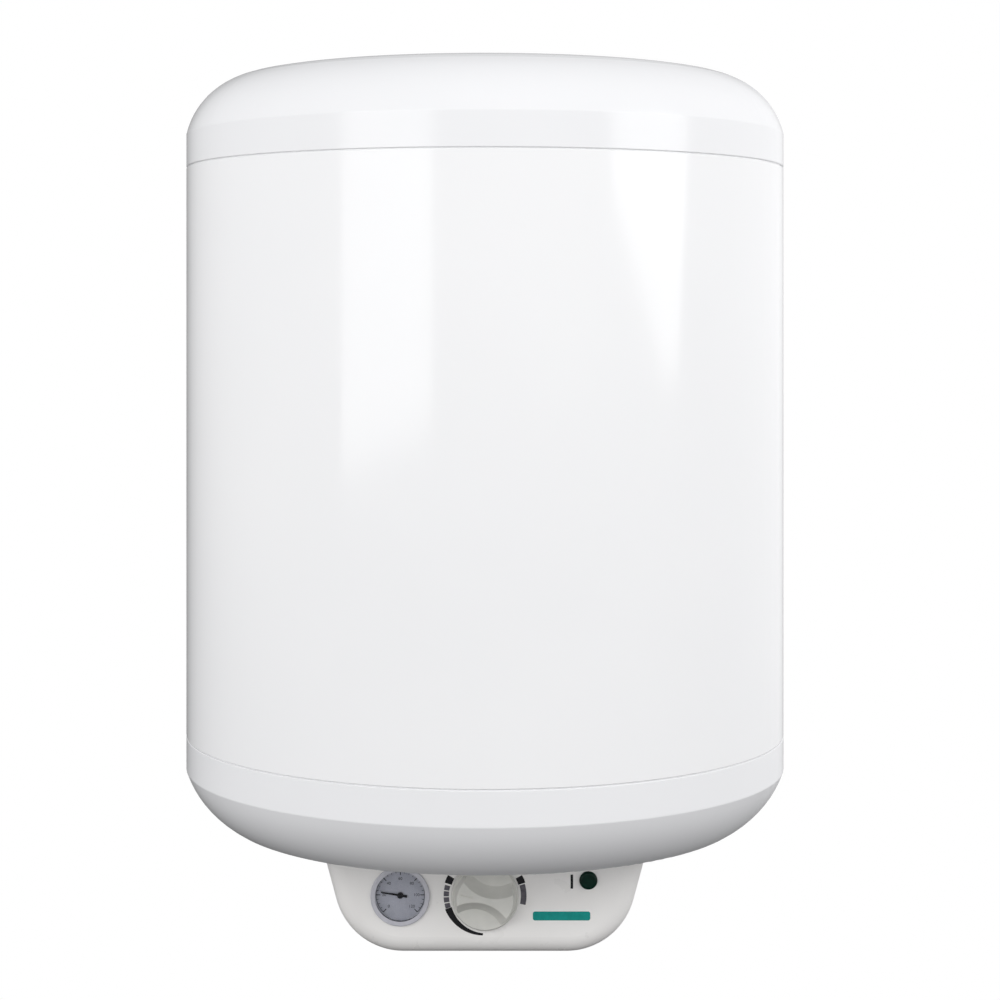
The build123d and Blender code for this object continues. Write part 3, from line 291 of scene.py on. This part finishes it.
paint(knob_grey, "thermostat_knob")
paint(copper, "thermostat_capillary", "cutout_capillary", "gauge_capillary")
paint(dial_grey, "gauge_dial")
paint(ink_black, "gauge_needle")
paint(clear_glass(), "gauge_lens")
paint(bezel_grey, "gauge_bezel")
paint(lamp_green(), "lamp_lens")
paint(ceramic, "terminal_block")
paint(gland_grey, "cable_gland", "gland_nut", "gland_locknut")
paint(wire_brown, "live_wiring")
paint(wire_blue, "neutral_wire")
paint(striped_wire(), "earth_wire")
paint(wire_black, "lamp_wires")


# ---------------------------------------------------------------- mesh helpers

def add_mesh(name, bm, mat, body, smooth=False):
    """Turns a bmesh into a piece that rides on a body."""
    bmesh.ops.recalc_face_normals(bm, faces=bm.faces)
    data = bpy.data.meshes.new(name)
    bm.to_mesh(data)
    bm.free()
    for face in data.polygons:
        face.use_smooth = smooth
    data.materials.append(mat)
    piece = bpy.data.objects.new(name, data)
    bpy.context.scene.collection.objects.link(piece)
    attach(piece, body)
    return piece


def slab(bm, outline, y_front, y_back):
    """Closed flat plate from an outline of (x, z) points."""
    front = [bm.verts.new((x, y_front, z)) for x, z in outline]
    back = [bm.verts.new((x, y_back, z)) for x, z in outline]
    bm.faces.new(front)
    bm.faces.new(list(reversed(back)))
    for i in range(len(outline)):
        j = (i + 1) % len(outline)
        bm.faces.new((front[i], back[i], back[j], front[j]))


def clock(centre, radius, degrees_clockwise):
    """Point at a radius and a clockwise angle from the top, seen from the front."""
    a = math.radians(degrees_clockwise)
    return centre.x + radius * math.sin(a), centre.z + radius * math.cos(a)


def arc_outline(centre, start, end, width_start, width_end, radius, steps=28):
    """Outline of a curved band whose width changes along its length."""
    outer, inner = [], []
    for i in range(steps + 1):
        t = i / steps
        angle = start + (end - start) * t
        half = (width_start + (width_end - width_start) * t) / 2
        outer.append(clock(centre, radius + half, angle))
        inner.append(clock(centre, radius - half, angle))
    return outer + inner[::-1]


def rounded_bar(cx, cz, length, height, radius, steps=8):
    """Outline of a bar with round corners."""
    points = []
    for sx, sz, first in ((1, 1, 0), (-1, 1, 90), (-1, -1, 180), (1, -1, 270)):
        for i in range(steps + 1):
            a = math.radians(first + 90 * i / steps)
            points.append((cx + sx * (length / 2 - radius) + radius * math.cos(a),
                           cz + sz * (height / 2 - radius) + radius * math.sin(a)))
    return points


# --------------------------------------------------------------- printed marks

# Ink stands a little proud of the cover's face and reaches a little into it.
INK_FRONT = PANEL_Y - 0.08 * MM
INK_BACK = PANEL_Y + 0.02 * MM

# The knob's scale. Angles are degrees clockwise from the top, widths are across the band.
SCALE_R = 27.6 * MM
TAPER_ARC = (183, 251)
TAPER_WIDTHS = (1.5 * MM, 5.0 * MM)
SQUARE_ANGLE = 66.5
SQUARE_HALF = 5.6
SQUARE_WIDTH = 5.2 * MM
GREY_ARC = (73.5, 103)
GREY_WIDTH = 4.0 * MM
FIRST_DASH = -78.5
DASH_STEP = 8.8
DASH_HALF = 3.7
DASH_COUNT = 4
DASH_WIDTH = 3.8 * MM

bm = bmesh.new()
slab(bm, arc_outline(KNOB, *TAPER_ARC, *TAPER_WIDTHS, SCALE_R), INK_FRONT, INK_BACK)
for angle in (-SQUARE_ANGLE, SQUARE_ANGLE):
    slab(bm, arc_outline(KNOB, angle - SQUARE_HALF, angle + SQUARE_HALF,
                         SQUARE_WIDTH, SQUARE_WIDTH, SCALE_R, 6), INK_FRONT, INK_BACK)
add_mesh("scale_marks", bm, ink_black, "casing")

bm = bmesh.new()
slab(bm, arc_outline(KNOB, *GREY_ARC, GREY_WIDTH, GREY_WIDTH, SCALE_R), INK_FRONT, INK_BACK)
for step in range(DASH_COUNT):
    angle = FIRST_DASH - DASH_STEP * step
    slab(bm, arc_outline(KNOB, angle - DASH_HALF, angle + DASH_HALF,
                         DASH_WIDTH, DASH_WIDTH, SCALE_R, 5), INK_FRONT, INK_BACK)
add_mesh("scale_arcs", bm, ink_grey, "casing")

# Upright line to the left of the lamp.
MARK_X = LAMP.x - 11.8 * MM
MARK_Z = LAMP.z - 1.0 * MM
MARK_HALF_WIDTH = 0.9 * MM
MARK_HALF_HEIGHT = 5 * MM
mark_left, mark_right = MARK_X - MARK_HALF_WIDTH, MARK_X + MARK_HALF_WIDTH
mark_low, mark_high = MARK_Z - MARK_HALF_HEIGHT, MARK_Z + MARK_HALF_HEIGHT

bm = bmesh.new()
slab(bm, [(mark_left, mark_low), (mark_right, mark_low),
          (mark_right, mark_high), (mark_left, mark_high)], INK_FRONT, INK_BACK)
add_mesh("on_mark", bm, ink_black, "casing")

# Coloured bar, below the lamp and to its left.
BAR_X = LAMP.x - 19.1 * MM
BAR_Z = LAMP.z - 25.5 * MM
BAR_LENGTH = 41 * MM
BAR_HEIGHT = 6.4 * MM
BAR_CORNER = 1.6 * MM

bm = bmesh.new()
slab(bm, rounded_bar(BAR_X, BAR_Z, BAR_LENGTH, BAR_HEIGHT, BAR_CORNER), INK_FRONT, INK_BACK)
add_mesh("accent_bar", bm, ink_teal, "casing")


# ----------------------------------------------------------- thermometer scale

# 0 to 120 degrees C over 270 degrees of turn. A tick has a length and half a width.
TOP_READING = 120
MINOR_READING = 5
MAJOR_READING = 20
DIAL_START = -135
DIAL_SWEEP = 270
DIAL_RING_R = 17.3 * MM
DIAL_RING_WIDTH = 0.3 * MM
TICK_OUTER_R = 17.2 * MM
TICK_MIDDLE_R = 15 * MM
MAJOR_TICK = (3.0 * MM, 0.28 * MM)
MINOR_TICK = (1.6 * MM, 0.14 * MM)
NUMBER_R = 11.6 * MM
NUMBER_SIZE = 3.0 * MM
NUMBER_DEPTH = 0.03 * MM
NUMBER_INSET = 0.01 * MM
dial_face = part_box("gauge_dial")[0].y
dial_front = dial_face - 0.05 * MM
dial_back = dial_face + 0.02 * MM


def dial_angle(reading):
    """Clockwise angle from the top at which the dial shows a reading."""
    return DIAL_START + reading * DIAL_SWEEP / TOP_READING


bm = bmesh.new()
for reading in range(0, TOP_READING + 1, MINOR_READING):
    angle = dial_angle(reading)
    length, half_width = MINOR_TICK if reading % MAJOR_READING else MAJOR_TICK
    half = math.degrees(half_width / TICK_MIDDLE_R)
    slab(bm, arc_outline(GAUGE, angle - half, angle + half, length, length,
                         TICK_OUTER_R - length / 2, 2), dial_front, dial_back)
slab(bm, arc_outline(GAUGE, DIAL_START, DIAL_START + DIAL_SWEEP, DIAL_RING_WIDTH,
                     DIAL_RING_WIDTH, DIAL_RING_R, 60), dial_front, dial_back)
add_mesh("dial_scale", bm, ink_black, "casing")


def dial_number(reading):
    """Number on the dial, turned from flat text into a mesh that stands upright."""
    curve = bpy.data.curves.new(f"dial_number_{reading}", "FONT")
    curve.body = str(reading)
    curve.size = NUMBER_SIZE
    curve.align_x = "CENTER"
    curve.align_y = "CENTER"
    curve.extrude = NUMBER_DEPTH
    curve.resolution_u = 3
    text = bpy.data.objects.new(f"dial_number_{reading}_text", curve)
    bpy.context.scene.collection.objects.link(text)
    x, z = clock(GAUGE, NUMBER_R, dial_angle(reading))
    upright = Matrix.Rotation(math.radians(90), 4, "X")
    text.matrix_world = Matrix.Translation((x, dial_front + NUMBER_INSET, z)) @ upright
    bpy.context.view_layer.update()
    data = bpy.data.meshes.new_from_object(text)
    data.transform(text.matrix_world)
    bpy.data.objects.remove(text)
    data.materials.clear()
    data.materials.append(ink_black)
    number = bpy.data.objects.new(f"dial_number_{reading}", data)
    bpy.context.scene.collection.objects.link(number)
    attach(number, "casing")


for reading in range(0, TOP_READING + 1, MAJOR_READING):
    dial_number(reading)


# ------------------------------------------------------------------ pipe stubs

THREAD_CREST_R = 10.45 * MM
THREAD_ROOT_R = 9.33 * MM
THREAD_PITCH = 1.814 * MM
THREAD_LENGTH = 27.0 * MM
SHANK_R = 10.2 * MM
BORE_R = 7.5 * MM
CHAMFER = 0.6 * MM
# Shares of the way from the middle of a root to the middle of a crest: flat root, then flank.
ROOT_FLAT = 0.15
FLANK = 0.7
# Vertices round a ring, rings along the thread, and rings over which the thread fades out.
AROUND = 64
ALONG = 150
FADE = 8
SHARP_ANGLE = math.radians(40)


def ring_of(bm, cx, cy, radii, z):
    """Ring of vertices at a height, with a radius for each."""
    turn = 2 * math.pi / AROUND
    return [bm.verts.new((cx + radius * math.cos(turn * i), cy + radius * math.sin(turn * i), z))
            for i, radius in enumerate(radii)]


def threaded_stub(name, node, body):
    """Pipe stub with a helical G 1/2 thread, a plain shank and an open bore."""
    low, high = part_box(node)
    cx, cy = (low.x + high.x) / 2, (low.y + high.y) / 2
    bm = bmesh.new()
    rings = []
    for k in range(ALONG + 1):
        z = low.z + THREAD_LENGTH * k / ALONG
        taper = min(1.0, k / FADE, (ALONG - k) / FADE)
        radii = []
        for i in range(AROUND):
            phase = ((z - low.z) / THREAD_PITCH - i / AROUND) % 1.0
            tooth = min(1.0, max(0.0, (1 - abs(2 * phase - 1) - ROOT_FLAT) / FLANK))
            radii.append(THREAD_ROOT_R + (THREAD_CREST_R - THREAD_ROOT_R) * tooth * taper)
        rings.append(ring_of(bm, cx, cy, radii, z))
    for radius, z in ((SHANK_R, low.z + THREAD_LENGTH + CHAMFER), (SHANK_R, high.z),
                      (BORE_R, high.z), (BORE_R, low.z + CHAMFER), (BORE_R + CHAMFER, low.z)):
        rings.append(ring_of(bm, cx, cy, [radius] * AROUND, z))
    rings.append(rings[0])
    for a, b in zip(rings, rings[1:]):
        for i in range(AROUND):
            j = (i + 1) % AROUND
            bm.faces.new((a[i], a[j], b[j], b[i]))
    piece = add_mesh(name, bm, zinc, body, smooth=True)
    piece.data.set_sharp_from_angle(angle=SHARP_ANGLE)
    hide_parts(node)


threaded_stub("cold_thread", "cold_inlet_nipple", "casing")
threaded_stub("hot_thread", "hot_outlet_nipple", "casing")


# ----------------------------------------------------------------------- stage

def flat_panel(name, corners, mat):
    """One flat face that belongs to the stage and not to the heater."""
    data = bpy.data.meshes.new(name)
    data.from_pydata(corners, [], [tuple(range(len(corners)))])
    data.materials.append(mat)
    panel = bpy.data.objects.new(name, data)
    bpy.context.scene.collection.objects.link(panel)
    return panel


def glowing(name, strength):
    """Material that gives off white light."""
    mat = bpy.data.materials.new(name)
    mat.use_nodes = True
    tree = mat.node_tree
    tree.nodes.clear()
    out = tree.nodes.new("ShaderNodeOutputMaterial")
    glow = tree.nodes.new("ShaderNodeEmission")
    glow.inputs["Strength"].default_value = strength
    tree.links.new(glow.outputs["Emission"], out.inputs["Surface"])
    return mat


def softbox(name, outline, strength):
    """Panel that lights the heater and shows in its gloss, but not to the camera itself."""
    panel = flat_panel(name, [(x, AXIS_Y + v, z) for x, v, z in outline],
                       glowing(name + "_glow", strength))
    panel.visible_camera = False
    panel.visible_shadow = False


# Outlines as x, y from the heater's axis, and z. The right panel comes to a blunt point at its
# foot, and so does its reflection in the casing.
softbox("softbox_left", [
    (-1.228, -1.026, -0.186), (-0.490, -1.523, -0.120),
    (-0.490, -1.523, 0.95), (-1.228, -1.026, 0.95)], strength=3.2)
softbox("softbox_right", [
    (1.112, -1.150, 0.185), (1.365, -0.717, -0.030), (1.400, -0.657, -0.055),
    (1.480, -0.520, -0.050), (1.549, -0.402, 0.25), (1.549, -0.402, 0.95),
    (1.112, -1.150, 0.95)], strength=3.6)

FLOOR_DROP = 1.8
FLOOR_R = 1.8
FLOOR_SIDES = 96
floor_mat = surface("studio_floor", (0.80, 0.80, 0.80), (0.83, 0.83, 0.83), (0.6, 0.7),
                    tone_scale=3, grain=60)
floor_rim = [2 * math.pi * i / FLOOR_SIDES for i in range(FLOOR_SIDES)]
floor = flat_panel("floor", [(FLOOR_R * math.cos(a), AXIS_Y + FLOOR_R * math.sin(a),
                              cad_box[0].z - FLOOR_DROP) for a in floor_rim], floor_mat)
# The floor shows, but sends no light back up under the heater.
floor.visible_diffuse = False
floor.visible_glossy = False
floor.visible_shadow = False

# Studio light by direction. Each row is a height, from straight down (-1) to straight up (1),
# with its brightness at turns round the heater from behind (-180), by the left, the front (0)
# and the right, to behind again.
LIGHT_TURNS = (-180, -160, -135, -110, -60, 0, 60, 115, 152, 180)
LIGHT_ROWS = (
    (-1.00, (0.00, 0.00, 0.00, 0.00, 0.00, 0.00, 0.00, 0.00, 0.00, 0.00)),
    (-0.40, (0.08, 0.10, 0.18, 0.28, 0.38, 0.06, 0.18, 0.32, 0.28, 0.08)),
    (-0.15, (0.10, 0.12, 0.40, 0.66, 0.90, 0.66, 0.90, 1.06, 0.95, 0.10)),
    (0.02, (0.10, 0.13, 0.60, 1.00, 1.16, 1.16, 1.22, 1.30, 1.10, 0.10)),
    (0.20, (0.20, 0.24, 0.68, 1.05, 1.18, 1.26, 1.26, 1.22, 1.02, 0.20)),
    (0.50, (0.40, 0.45, 0.64, 0.76, 0.92, 1.05, 1.06, 0.98, 0.84, 0.40)),
    (1.00, (0.30, 0.30, 0.30, 0.30, 0.30, 0.30, 0.30, 0.30, 0.30, 0.30)))
BRIGHTEST = 1.5
LIGHT_GAIN = 1.585


def math_node(tree, operation, *values):
    """Math node whose inputs are numbers or other nodes' outputs."""
    node = tree.nodes.new("ShaderNodeMath")
    node.operation = operation
    for socket, value in zip(node.inputs, values):
        if isinstance(value, (int, float)):
            socket.default_value = value
        else:
            tree.links.new(value, socket)
    return node.outputs[0]


def hat(tree, value, centre, low, high):
    """Weight that is 1 at the centre and falls straight to 0 at low and at high."""
    up = remap(tree, value, 0, 1, low, centre)
    down = remap(tree, value, 1, 0, centre, high)
    return math_node(tree, "MULTIPLY", up, down)


def light_row(tree, turn_share, levels):
    """Brightness round the heater at one height, as a share of the brightest it can be."""
    row = tree.nodes.new("ShaderNodeFloatCurve")
    curve = row.mapping.curves[0]
    for degrees, level in zip(LIGHT_TURNS[1:-1], levels[1:-1]):
        curve.points.new((degrees + 180) / 360, level / BRIGHTEST)
    curve.points[0].location = (0, levels[0] / BRIGHTEST)
    curve.points[-1].location = (1, levels[-1] / BRIGHTEST)
    for point in curve.points:
        point.handle_type = "VECTOR"
    row.mapping.update()
    tree.links.new(turn_share, row.inputs["Value"])
    return row.outputs["Value"]


def studio_world():
    """Studio light: bright at eye level and in front, softer above, dark below and behind."""
    world = bpy.data.worlds.new("studio")
    bpy.context.scene.world = world
    world.use_nodes = True
    tree = world.node_tree
    tree.nodes.clear()
    out = tree.nodes.new("ShaderNodeOutputWorld")
    coords = tree.nodes.new("ShaderNodeTexCoord")
    split = tree.nodes.new("ShaderNodeSeparateXYZ")
    tree.links.new(coords.outputs["Generated"], split.inputs["Vector"])
    towards = math_node(tree, "MULTIPLY", split.outputs["Y"], -1)
    turn = math_node(tree, "ARCTAN2", split.outputs["X"], towards)
    turn_share = remap(tree, turn, 0, 1, -math.pi, math.pi)

    heights = [height for height, levels in LIGHT_ROWS]
    heights.append(2 * heights[-1] - heights[-2])
    total = 0
    for i, (height, levels) in enumerate(LIGHT_ROWS):
        if any(levels):
            weight = hat(tree, split.outputs["Z"], height, heights[i - 1], heights[i + 1])
            total = math_node(tree, "MULTIPLY_ADD", weight,
                              light_row(tree, turn_share, levels), total)

    lit = tree.nodes.new("ShaderNodeBackground")
    lit.inputs["Color"].default_value = (0.985, 0.985, 1, 1)
    tree.links.new(math_node(tree, "MULTIPLY", total, LIGHT_GAIN), lit.inputs["Strength"])
    seen = tree.nodes.new("ShaderNodeBackground")
    seen.inputs["Color"].default_value = (1, 1, 1, 1)
    path = tree.nodes.new("ShaderNodeLightPath")
    choose = tree.nodes.new("ShaderNodeMixShader")
    tree.links.new(path.outputs["Is Camera Ray"], choose.inputs["Fac"])
    tree.links.new(lit.outputs[0], choose.inputs[1])
    tree.links.new(seen.outputs[0], choose.inputs[2])
    tree.links.new(choose.outputs[0], out.inputs["Surface"])


studio_world()

# Level camera, straight in front and a little above the upper bracket's middle.
CAMERA_DISTANCE = 1.6875
CAMERA_HEIGHT = 0.015
camera_data = bpy.data.cameras.new("camera")
camera_data.lens = 79.9
camera_data.sensor_width = 36
camera_data.shift_x = 0.015
camera_data.shift_y = -0.1787
camera_data.clip_start = 0.05
camera = bpy.data.objects.new("camera", camera_data)
bpy.context.scene.collection.objects.link(camera)
camera.location = (0, AXIS_Y - CAMERA_DISTANCE, CAMERA_HEIGHT)
camera.rotation_euler = (math.radians(90), 0, 0)
bpy.context.scene.camera = camera
bpy.context.scene.view_settings.view_transform = "Standard"
